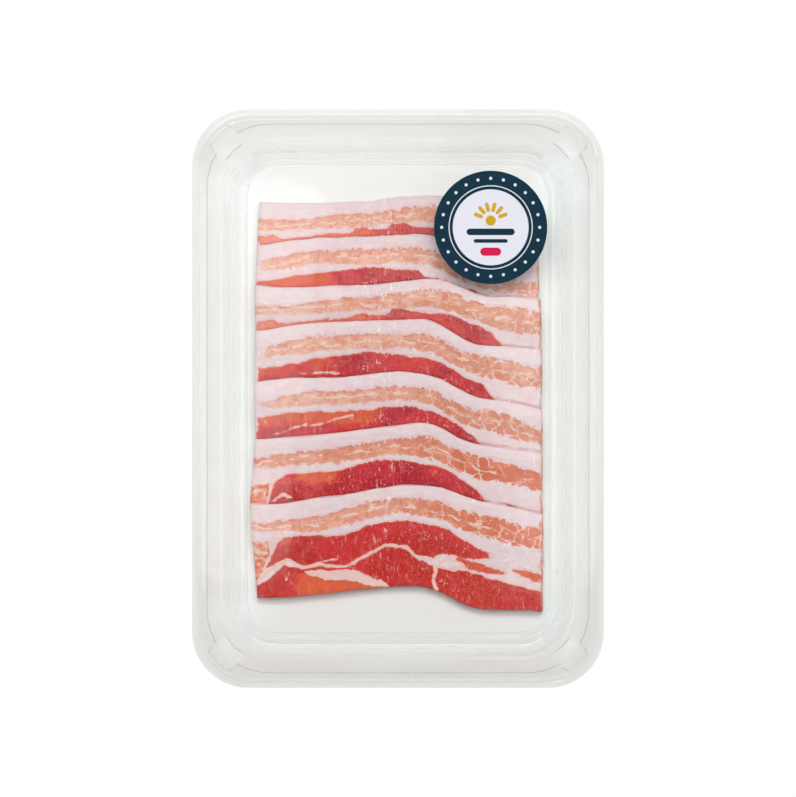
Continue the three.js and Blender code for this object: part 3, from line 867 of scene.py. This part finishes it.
def border(rows, columns):
    """Grid indices round the border, against the clock seen from above."""
    index = np.arange(rows * columns).reshape(rows, columns)
    return np.concatenate([index[:-1, 0], index[-1, :-1], index[:0:-1, -1], index[0, :0:-1]])


def inward_of(grid):
    """Unit steps into the slice from each border point."""
    rows, columns = grid.shape[:2]
    flat = grid[:, :, :2].reshape(-1, 2)
    around = border(rows, columns)
    r, c = np.clip(around // columns, 1, rows - 2), np.clip(around % columns, 1, columns - 2)
    step = flat[r * columns + c] - flat[around]
    return step / np.maximum(np.hypot(step[:, 0], step[:, 1]), 1e-6)[:, None]


LENGTH_STATIONS = np.linspace(-48, 48, 13)
LATTICE_WIDTH = 104.0
BORDER_ACROSS, STEP_ACROSS = 2.0, 0.6
BORDER_DOWN, STEP_DOWN = 0.9, 0.5
BROW_DROP, GROOVE_DEPTH, LIP_RISE = 0.55, 0.4, 0.75
SEED_STEP = 13.7  # shifts the meat's patterns from slice to slice
OVERLAP = 5  # how far the fine rows run on under the next slice
COVERED_STEP = 4  # of the rows further under, one in so many is kept


def slice_rows(number, full):
    """Depths of the lattice's rows: close together where the slice shows."""
    rows = spread(full, BORDER_DOWN, STEP_DOWN)
    if number == LAST:
        return rows
    shown = EDGES[number].y - EDGES[number + 1].y + OVERLAP
    at_end = rows >= full - BORDER_DOWN
    covered = rows[(rows > shown) & ~at_end][::COVERED_STEP]
    return np.unique(np.concatenate([rows[rows <= shown], covered, rows[at_end]]))


def rim_loops(upper_edge, lower_edge, fold, inward):
    """Three loops round the slice's edge: a brow, the groove between the two leaves, and a lip."""
    middle = (upper_edge[:, 2] + lower_edge[:, 2]) / 2
    brow, groove, lip = upper_edge.copy(), upper_edge.copy(), lower_edge.copy()
    brow[:, 2] = lerp(upper_edge[:, 2], middle, BROW_DROP)
    groove[:, :2] += np.where(fold, 0.0, GROOVE_DEPTH)[:, None] * inward
    groove[:, 2] = middle
    lip[:, 2] = lerp(lower_edge[:, 2], middle, LIP_RISE)
    return [brow, groove, lip]


def build_slice(number, material):
    node = f"slice_{number + 1}"
    face = cad_sheet(node)
    reaches = [slice_length(face, number, x) for x in LENGTH_STATIONS]

    def length(x):
        return np.interp(x, LENGTH_STATIONS, reaches)

    heights = coarse_heights(number, face, length)
    xs = spread(LATTICE_WIDTH, BORDER_ACROSS, STEP_ACROSS) / LATTICE_WIDTH
    depths = slice_rows(number, float(np.mean(reaches)))
    top, fields = slice_grid(number, heights, length, xs, depths, True)
    low, low_fields = slice_grid(number, heights, length, xs, depths, False)
    rows, columns = top.shape[:2]
    around = border(rows, columns)
    size = rows * columns
    top_points, low_points = top.reshape(-1, 3), low.reshape(-1, 3)
    fold = np.isin(around, np.arange(rows) * columns)
    rims = rim_loops(top_points[around], low_points[around], fold, inward_of(top))
    points = np.vstack([top_points, low_points, *rims])
    faces = []
    for r in range(rows - 1):
        for c in range(columns - 1):
            a, b = r * columns + c, (r + 1) * columns + c
            faces.append((a, b, b + 1, a + 1))
            faces.append((size + a, size + a + 1, size + b + 1, size + b))
    count = len(around)
    loops = [around, *(2 * size + k * count + np.arange(count) for k in range(3)), size + around]
    for upper_loop, lower_loop in zip(loops, loops[1:]):
        for i in range(count):
            n = (i + 1) % count
            faces.append((int(upper_loop[i]), int(lower_loop[i]), int(lower_loop[n]), int(upper_loop[n])))
    attributes = {}
    for key, values in fields.items():
        rim = values.ravel()[around]
        attributes[key] = np.concatenate([values.ravel(), low_fields[key].ravel(), rim, rim, rim])
    attributes["seed"] = np.full(len(points), number * SEED_STEP)
    piece = make_piece(f"pork_slice_{number + 1}", points, faces, material, attributes=attributes)
    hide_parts(node)
    return piece


# ---- Slices: meat ----

LIGHT_GAIN, SHEEN = 1.15, 0.03


def seen(r, g, b, gain=LIGHT_GAIN, sheen=SHEEN):
    """A base colour that shows as these screen values under this light and film."""
    return tuple(max((c - sheen) / gain, 0.003) for c in srgb(r, g, b)[:3]) + (1.0,)


FAT_WHITE, FAT_LILAC, FAT_CREAM = seen(240, 222, 224), seen(232, 211, 216), seen(240, 222, 215)
FAT_PINK, FAT_GREY, FAT_BLUSH = seen(240, 204, 208), seen(222, 198, 202), seen(236, 190, 186)
SALMON, SALMON_DEEP, SALMON_LIGHT = seen(237, 175, 151), seen(229, 153, 128), seen(244, 204, 186)
SALMON_RED, MARBLING, SALMON_BROWN = seen(218, 124, 104), seen(245, 214, 202), seen(220, 152, 124)
CRIMSON, CRIMSON_DEEP, LEAN_RED = seen(206, 64, 80), seen(180, 46, 68), seen(214, 66, 68)
LEAN_ORANGE, LEAN_LIGHT, LEAN_SHADE = seen(224, 106, 72), seen(226, 106, 104), seen(154, 28, 48)
LEAN_THREAD, MEMBRANE_TONE = seen(238, 160, 146), seen(238, 198, 184)
SALMON_ROSE, LEAN_BRICK, LEAN_HAZE = seen(214, 110, 82), seen(197, 60, 53), seen(248, 168, 152)
FOLD_ORANGE, EDGE_SHADE, GLINT = seen(230, 128, 92), seen(180, 92, 86), (0.97, 0.96, 0.96, 1)
RIGHT_PART = (-8.0, 22.0)  # where the pale lean turns from crumbs into lobes
MUSCLE_SCALE = 0.16


def meat_patterns(n):
    """The patterns that the bands share: noise of several sizes, grain, and the borders that they roughen."""
    m = SimpleNamespace()
    seed, here = n.field("seed"), n.place()
    m.place = n.vector("ADD", here, n.out("CombineXYZ", {0: seed, 1: seed}))
    m.along = n.out("SeparateXYZ", {0: here})
    m.right = n.ramp(m.along, *RIGHT_PART)
    m.crumbs = n.line(m.right, -0.5, 1.0)
    m.long_grain = n.vector("MULTIPLY", m.place, (0.3, 1.0, 1.0))
    m.cross_grain = n.vector("MULTIPLY", m.place, (1.0, 0.3, 1.0))
    m.broad = n.noise(m.place, 0.075, 2.0)
    m.coarse = n.noise(m.place, 0.2, 3.0)
    m.medium = n.noise(m.place, 0.5, 3.0, 0.6)
    m.fine = n.noise(m.place, 1.1, 3.0, 0.75)
    m.fibre = n.noise(m.cross_grain, 1.3, 2.0, 0.6)
    m.speckle = n.noise(m.place, 1.7, 1.0)
    m.ragged = n.swing(m.fine, 2.2, n.swing(m.medium, 3.2))

    # Muscle bundles of the pale lean: cells laid along the band, which notch its upper edge.
    band_place = n.out("CombineXYZ", {0: m.along, 1: n.field("pale_top"), 2: seed})
    bundles = n.vector("MULTIPLY", n.warped(band_place, 0.25, 2.6), (0.17, 0.25, 1.0))
    m.seam = n.cells(bundles, 1.0, "DISTANCE_TO_EDGE", randomness=0.9)
    notch = n.ramp(m.seam, 0.15, 0.0, n.line(m.right, 0.8, 0.3))
    m.pale_depth = n.math("SUBTRACT", n.line(m.ragged, m.crumbs, n.field("pale")), notch)
    m.dark_depth = n.line(m.ragged, 0.55, n.field("dark"))
    m.vein_depth = n.line(m.ragged, 0.4, n.field("vein"))
    return m


def fat_colour(n, m):
    """Lilac white with cream and pink patches and long faint streaks, greyer at the back edge, and a painted
    shade line in broken streaks along the next slice's edge.
    """
    fat = n.layered(FAT_WHITE, [
        (n.noise(m.long_grain, 0.8, 3.0, 0.6), 0.35, 0.65, 1.0, FAT_LILAC),
        (m.broad, 0.5, 0.66, 0.5, FAT_CREAM),
        (m.coarse, 0.46, 0.34, 0.7, FAT_PINK),
        (m.speckle, 0.5, 0.25, 0.35, FAT_GREY),
        (n.field("edge"), 1.1, 0.1, 0.5, FAT_GREY),
    ])
    blush = n.larger(n.ramp(m.dark_depth, -1.3, -0.1), n.ramp(m.pale_depth, -1.1, 0.0, 0.6))
    fat = n.mix(n.times(blush, 0.55), fat, FAT_BLUSH)
    # Painted shade: a brownish line along the next slice's edge, past the dark lean's tip.
    edge_shade = n.ramp(n.field("front"), -1.3, -0.75, 0.4)
    edge_shade = n.ramp(n.field("past_tip"), -1.0, 1.0, edge_shade)
    return n.layered(fat, [(n.noise(m.long_grain, 0.5, 2.0), 0.36, 0.5, edge_shade, EDGE_SHADE)])


def pale_lean_colour(n, m):
    """Salmon with a redder rim and light grain, and cream seams and dashes."""
    salmon = n.layered(SALMON_DEEP, [
        (m.medium, 0.4, 0.6, 1.0, SALMON),
        (m.along, *RIGHT_PART, 0.7, SALMON_BROWN),
        (m.coarse, 0.5, 0.62, 0.5, SALMON_LIGHT),
        (m.fibre, 0.48, 0.66, n.times(m.crumbs, 0.45), SALMON_LIGHT),
        (m.fine, 0.46, 0.36, 0.45, SALMON_RED),
        (m.speckle, 0.54, 0.66, n.times(m.crumbs, 0.5), MARBLING),
    ])
    rose = n.mix(n.ramp(m.coarse, 0.44, 0.58), SALMON_ROSE, FOLD_ORANGE)
    salmon = n.mix(n.field("deep"), salmon, rose)
    salmon = n.layered(salmon, [(n.field("pale_top"), 1.4, 0.1, 0.5, SALMON_RED)])
    seams = n.ramp(m.seam, 0.065, 0.015, n.line(m.right, 0.42, 0.25))
    seams = n.ramp(n.noise(m.place, 0.22, 2.0), 0.45, 0.56, seams)
    middle = n.swing(m.coarse, 5.0, n.field("pale_middle"))
    dash = n.ramp(n.math("ABSOLUTE", middle), 0.7, 0.15, 0.85)
    dash = n.ramp(n.noise(m.long_grain, 0.6, 2.0), 0.47, 0.55, dash)
    return n.mix(n.larger(seams, dash), salmon, MARBLING)


def dark_lean_colour(n, m):
    """Crimson to orange-red in bundles, with grain and pale threads, and a painted shade where the next slice
    covers it.
    """
    warm = n.field("warm")
    muscle = n.warped(m.place, 0.25, 5.0)
    tone = n.out("SeparateColor", {0: n.cells(muscle, MUSCLE_SCALE, "SMOOTH_F1", "Color")})
    crimson = n.mix(n.ramp(tone, 0.25, 0.75), CRIMSON_DEEP, CRIMSON)
    lean = n.layered(n.mix(n.field("brick"), crimson, LEAN_BRICK), [
        (warm, 0.0, 0.35, 1.0, LEAN_RED),
        (n.line(m.medium, 1.2, warm), 1.0, 1.5, 1.0, LEAN_ORANGE),
        (m.fibre, 0.5, 0.68, 0.35, LEAN_LIGHT),
        (m.fine, 0.48, 0.34, 0.45, LEAN_SHADE),
        (m.speckle, 0.56, 0.68, 0.5, LEAN_LIGHT),
        (m.medium, 0.2, 0.55, n.field("haze"), LEAN_HAZE),
        (m.dark_depth, 0.9, 0.1, 0.35, LEAN_ORANGE),
    ])
    segment = n.cells(muscle, MUSCLE_SCALE, "DISTANCE_TO_EDGE")
    segment = n.ramp(segment, 0.05, 0.0, n.ramp(m.coarse, 0.46, 0.56, 0.2))
    threads = n.ramp(n.noise(m.cross_grain, 0.8, 2.0, 0.4, 0.3), 0.65, 0.7, 0.45)
    lean = n.mix(n.larger(threads, segment), lean, LEAN_THREAD)
    # Painted shade: darker along the next slice's edge.
    return n.layered(lean, [(n.field("front"), -1.0, -0.2, 0.4, LEAN_SHADE)])


def wet_highlights(n, m, dark):
    """Painted highlights: wet flecks and hair lines, in patches, painted white into the colour; their
    brightness, and the flecks' relief.
    """
    dots = n.cells(n.vector("MULTIPLY", n.warped(m.place, 0.9, 1.6), (1.35, 0.8, 1.0)), 0.95)
    stray = n.ramp(n.noise(m.place, 0.16, 2.0), 0.6, 0.7, 0.35)
    wet = n.larger(n.ramp(m.medium, 0.36, 0.5, n.field("wet")), stray)
    glint = n.ramp(dots, 0.3, 0.19, n.ramp(wet, 0.15, 0.45, 0.9))
    hair_place = n.vector("MULTIPLY", n.warped(m.place, 0.3, 1.5), (1.2, 0.1, 1.0))
    hair = n.ramp(n.noise(hair_place, 1.0), 0.63, 0.67, n.times(n.field("hair"), 0.5))
    hair = n.ramp(m.fine, 0.42, 0.52, hair)
    return n.times(n.larger(glint, hair), n.line(dark, -0.35, 1.0)), n.times(dots, wet)


def pork():
    """The cut face of a slice: fat, pale lean, dark lean, folded end and threads, laid over each other."""
    n = material_nodes("pork")
    m = meat_patterns(n)
    fat = fat_colour(n, m)
    pale = n.ramp(m.pale_depth, -0.3, 0.4)
    dark = n.ramp(m.dark_depth, -0.16, 0.2)
    colour = n.mix(pale, fat, pale_lean_colour(n, m))
    colour = n.mix(dark, colour, dark_lean_colour(n, m))
    folded_end = n.layered(SALMON_LIGHT, [
        (m.medium, 0.42, 0.52, 1.0, FOLD_ORANGE),
        (m.fine, 0.5, 0.6, 0.6, MARBLING),
        (m.coarse, 0.49, 0.56, 0.8, LEAN_ORANGE),
    ])
    fold = n.ramp(n.line(m.ragged, 0.8, n.field("fold")), -0.3, 0.4)
    colour = n.mix(n.larger(fold, n.ramp(n.field("cut"), -0.2, 0.4, 0.75)), colour, folded_end)
    membrane = n.mix(n.ramp(m.vein_depth, 0.35, 0.8), MEMBRANE_TONE, fat)
    membrane = n.layered(membrane, [(m.fine, 0.46, 0.36, 0.5, FAT_BLUSH)])
    colour = n.mix(n.ramp(m.vein_depth, -0.16, 0.22), colour, membrane)
    painted_glints, flecks = wet_highlights(n, m, dark)
    # Painted highlights: white glints and hair lines painted into the colour.
    colour = n.mix(painted_glints, colour, GLINT)
    normal = n.bump(flecks, 0.2, 0.8, n.bump(m.fine, 0.1, 0.5))
    rough = n.line(m.fine, 0.12, n.line(n.larger(pale, dark), -0.05, 0.42))
    return n.surface({
        "Base Color": colour, "Roughness": rough, "Normal": normal, "Specular IOR Level": 0.1,
        "Coat Weight": 0.3, "Coat Roughness": 0.12, "Coat IOR": 1.36, "Coat Normal": normal,
    })


# ---- Label ----

LABEL_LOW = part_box("label")[0].z / MM
LABEL_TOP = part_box("label")[1].z / MM - 0.04  # leaves room for the printed shapes
LABEL_BEVEL = 0.03
INK = 0.02
INK_TOP, INK_LOW = LABEL_TOP + INK, LABEL_TOP - INK
DISC_SIDES, BAND_SIDES = 160, 120
LABEL_LIGHT = (1.2, 0.0065)  # the light's gain and sheen there


def ink(name, colour, other):
    """Printed, coated paper: a faint mottle and a satin gloss."""
    n = material_nodes(name)
    place = n.place()
    mottle = n.noise(place, 1.4, 4.0)
    tone = n.mix(n.ramp(mottle, 0.3, 0.7), seen(*colour, *LABEL_LIGHT), seen(*other, *LABEL_LIGHT))
    rough = n.line(n.noise(place, 3.0, 3.0), 0.14, 0.3)
    normal = n.bump(n.noise(place, 5.0), 0.02, 0.4)
    return n.surface({"Base Color": tone, "Roughness": rough, "Normal": normal, "Specular IOR Level": 0.06})


def label_disc():
    """A thin disc with a tiny bevel, its centre at the origin."""
    middle, shoulder = LABEL_RADIUS / 2, LABEL_RADIUS - LABEL_BEVEL
    section = [
        (middle, LABEL_TOP), (shoulder, LABEL_TOP), (LABEL_RADIUS, LABEL_TOP - LABEL_BEVEL),
        (LABEL_RADIUS, LABEL_LOW + LABEL_BEVEL), (shoulder, LABEL_LOW), (middle, LABEL_LOW),
    ]
    points = np.vstack([at_height(circle(DISC_SIDES) * r, z) for r, z in section])
    return points, ring_faces(len(section), DISC_SIDES)


def flat_print(shape):
    """A convex outline raised by the ink's thickness."""
    count = len(shape)
    faces = [tuple(range(count)), tuple(2 * count - 1 - i for i in range(count))]
    faces += [(i, count + i, count + (i + 1) % count, (i + 1) % count) for i in range(count)]
    return np.vstack([at_height(shape, INK_TOP), at_height(shape, INK_LOW)]), faces


def pill(centre, length, width, turn=0.0, steps=10):
    """A bar with round ends."""
    arc = np.linspace(-np.pi / 2, np.pi / 2, steps)
    reach, r = (length - width) / 2, width / 2
    right = np.column_stack([reach + r * np.cos(arc), r * np.sin(arc)])
    shape = np.vstack([right, -right])
    c, s = math.cos(turn), math.sin(turn)
    return shape @ np.array([[c, s], [-s, c]]) + centre


def band(inner, outer):
    """A raised ring."""
    section = [(inner, INK_TOP), (outer, INK_TOP), (outer, INK_LOW), (inner, INK_LOW)]
    points = np.vstack([at_height(circle(BAND_SIDES) * r, z) for r, z in section])
    faces = []
    for i in range(BAND_SIDES):
        n = (i + 1) % BAND_SIDES
        for start in range(0, len(points), BAND_SIDES):
            after = (start + BAND_SIDES) % len(points)
            faces.append((start + i, after + i, after + n, start + n))
    return points, faces


def joined(parts):
    points, faces, start = [], [], 0
    for part_points, part_faces in parts:
        points.append(part_points)
        faces += [tuple(start + i for i in face) for face in part_faces]
        start += len(part_points)
    return np.vstack(points), faces


def polar(radius, degrees):
    turn = math.radians(degrees)
    return np.array((radius * math.cos(turn), radius * math.sin(turn)))


def raised(part):
    """A part moved up, so that it lies on the white field."""
    return part[0] + (0, 0, 0.6 * INK), part[1]


def label_piece(name, part, material):
    points, faces = part
    piece = make_piece(name, points + (*LABEL_CENTRE, 0), faces, material, flat=True)
    return piece


def build_label():
    teal = ink("label_teal", (24, 50, 66), (30, 60, 74))
    paper = ink("label_white", (232, 232, 242), (226, 227, 238))
    gold = ink("label_gold", (212, 174, 44), (202, 160, 38))
    red = ink("label_red", (218, 40, 84), (206, 36, 74))
    disc = label_piece("label_disc", label_disc(), teal)
    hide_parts("label")
    white_parts = [band(0.02, 13.4), band(14.5, 14.85)]
    white_parts += [flat_print(pill(polar(17.3, a), 1.1, 1.1)) for a in range(0, 360, 15)]
    label_piece("label_white_fields", joined(white_parts), paper)
    rays = [flat_print(pill(polar(4.6, a) + (0, 2.6), 3.4, 1.3, math.radians(a))) for a in range(20, 161, 28)]
    sun = [flat_print(pill(np.array((0, 2.4)), 3.6, 3.6, steps=20))]
    label_piece("label_gold_fan", raised(joined(rays + sun)), gold)
    bars = [flat_print(pill(np.array((0, -1.6)), 17, 2.3)), flat_print(pill(np.array((0, -4.8)), 12, 1.3))]
    label_piece("label_dark_bars", raised(joined(bars)), teal)
    label_piece("label_red_pill", raised(flat_print(pill(np.array((0, -8.6)), 7.4, 2.9))), red)


# ---- Stage, lights and camera ----

CAMERA_HEIGHT = 1.1  # metres over the flange
PIXELS = (796, 797)
MM_PER_PIXEL = 0.3531
FLOOR_HALF, FLOOR_GAP = 4.0, 0.0004  # metres
AIM = Vector((0, 0, 0))
SIDE_GLOW, DIM_GLOW, HORIZON_GLOW = 0.28, 0.08, 0.62
DIM_DIRECTION = (0, -0.24, 0.97)


def build_floor():
    n = material_nodes("pale_floor")
    tone = n.noise(n.place(), 0.004)
    colour = n.mix(tone, (0.90, 0.90, 0.90, 1), (0.92, 0.92, 0.92, 1))
    mesh = bpy.data.meshes.new("floor")
    corners = [(-1, -1), (1, -1), (1, 1), (-1, 1)]
    points = [(x * FLOOR_HALF, y * FLOOR_HALF, -FLOOR_GAP) for x, y in corners]
    mesh.from_pydata(points, [], [(0, 1, 2, 3)])
    mesh.materials.append(n.surface({"Base Color": colour, "Roughness": 0.9, "Specular IOR Level": 0.0}))
    add_object("floor", mesh)


def area_light(name, place, size, power, colour):
    """A soft light aimed at the middle of the pack."""
    light = bpy.data.lights.new(name, "AREA")
    light.shape = "RECTANGLE"
    light.size, light.size_y = size
    light.energy = power
    light.color = colour
    lamp = add_object(name, light)
    lamp.location = place
    lamp.rotation_euler = (AIM - Vector(place)).to_track_quat("-Z", "Y").to_euler()
    return lamp


def build_world():
    """A pale room: even, but dim overhead and towards the front, where the slices would mirror it."""
    n = Nodes(bpy.data.worlds.new("studio"), "OutputWorld")
    direction = n.add("TexCoord").outputs["Generated"]
    dim_direction = Vector(DIM_DIRECTION).normalized()
    towards = n.add("VectorMath", {0: direction, 1: dim_direction}, operation="DOT_PRODUCT").outputs["Value"]
    strength = n.ramp(towards, 0.8, 0.93, DIM_GLOW, SIDE_GLOW)
    # Low down the room is paler in what the film and the tray mirror.
    height = n.add("SeparateXYZ", {0: direction}).outputs["Z"]
    mirrored = n.add("LightPath").outputs["Is Glossy Ray"]
    strength = n.line(mirrored, n.ramp(height, 0.42, 0.16, HORIZON_GLOW), strength)
    room = n.out("Background", {0: (0.98, 0.99, 1.0, 1), 1: strength})
    bpy.context.scene.world = n.finish(room)


WARM_WHITE, SPARK_WHITE, WHITE = (1.0, 0.99, 0.97), (1.0, 0.98, 0.94), (1.0, 1.0, 1.0)
# Name, place, size, power, colour: bars above three sides, low lights for the folds, small ones for glints.
LIGHTS = [
    ("bar_back", (0, 0.5, 1.02), (1.0, 0.3), 3.6, WARM_WHITE),
    ("bar_left", (-0.44, 0.05, 1.12), (0.3, 0.8), 1.6, WARM_WHITE),
    ("bar_right", (0.44, 0.05, 1.12), (0.3, 0.8), 1.5, WARM_WHITE),
    ("low_left", (-1.3, 0.1, 0.85), (0.5, 0.5), 1.2, WHITE),
    ("low_right", (1.3, 0.1, 0.85), (0.5, 0.5), 1.2, WHITE),
    ("low_front", (0, -1.3, 0.85), (0.5, 0.5), 1.5, WHITE),
    ("spark_1", (-0.36, 0.52, 1.15), (0.07, 0.07), 0.3, SPARK_WHITE),
    ("spark_2", (0.46, 0.30, 1.1), (0.07, 0.07), 0.3, SPARK_WHITE),
    ("spark_3", (0.20, -0.55, 1.15), (0.07, 0.07), 0.3, SPARK_WHITE),
]
OVERHEAD_LIGHT = ("overhead", (0, 0.6, 1.75), (0.9, 0.9), 16.5, WHITE)


def build_lights():
    for light in LIGHTS:
        area_light(*light)
    # The main soft light is overhead, and hidden from mirrors so that it leaves no image in the film.
    area_light(*OVERHEAD_LIGHT).visible_glossy = False


def build_camera():
    camera = bpy.data.cameras.new("camera")
    camera.sensor_fit = "AUTO"
    long_side = max(PIXELS) * MM_PER_PIXEL * MM
    camera.lens = camera.sensor_width * CAMERA_HEIGHT / long_side
    holder = add_object("camera", camera)
    holder.location = (0, 0, CAMERA_HEIGHT + TRAY_HEIGHT * MM)
    bpy.context.scene.camera = holder
    bpy.context.scene.view_settings.view_transform = "Standard"


# ---- Assembly ----

build_camera()
build_world()
build_lights()
build_floor()

tray = build_tray(clear_sheet(
    "clear_tray", clear=(0.957, 0.957, 0.951, 1), edge=(0.84, 0.85, 0.84, 1),
    haze=0.02, wobble_size=30, wobble=0.1, formed=True,
))
film = build_film(clear_sheet(
    "clear_film", clear=(0.985, 0.986, 0.984, 1), edge=(0.7, 0.7, 0.7, 1),
    haze=0.004, wobble_size=9, wobble=0.05,
))
for sheet in (tray, film):
    sheet.visible_shadow = False
    sheet.visible_diffuse = False
meat = pork()
for slice_number in range(len(EDGES)):
    build_slice(slice_number, meat)
build_label()
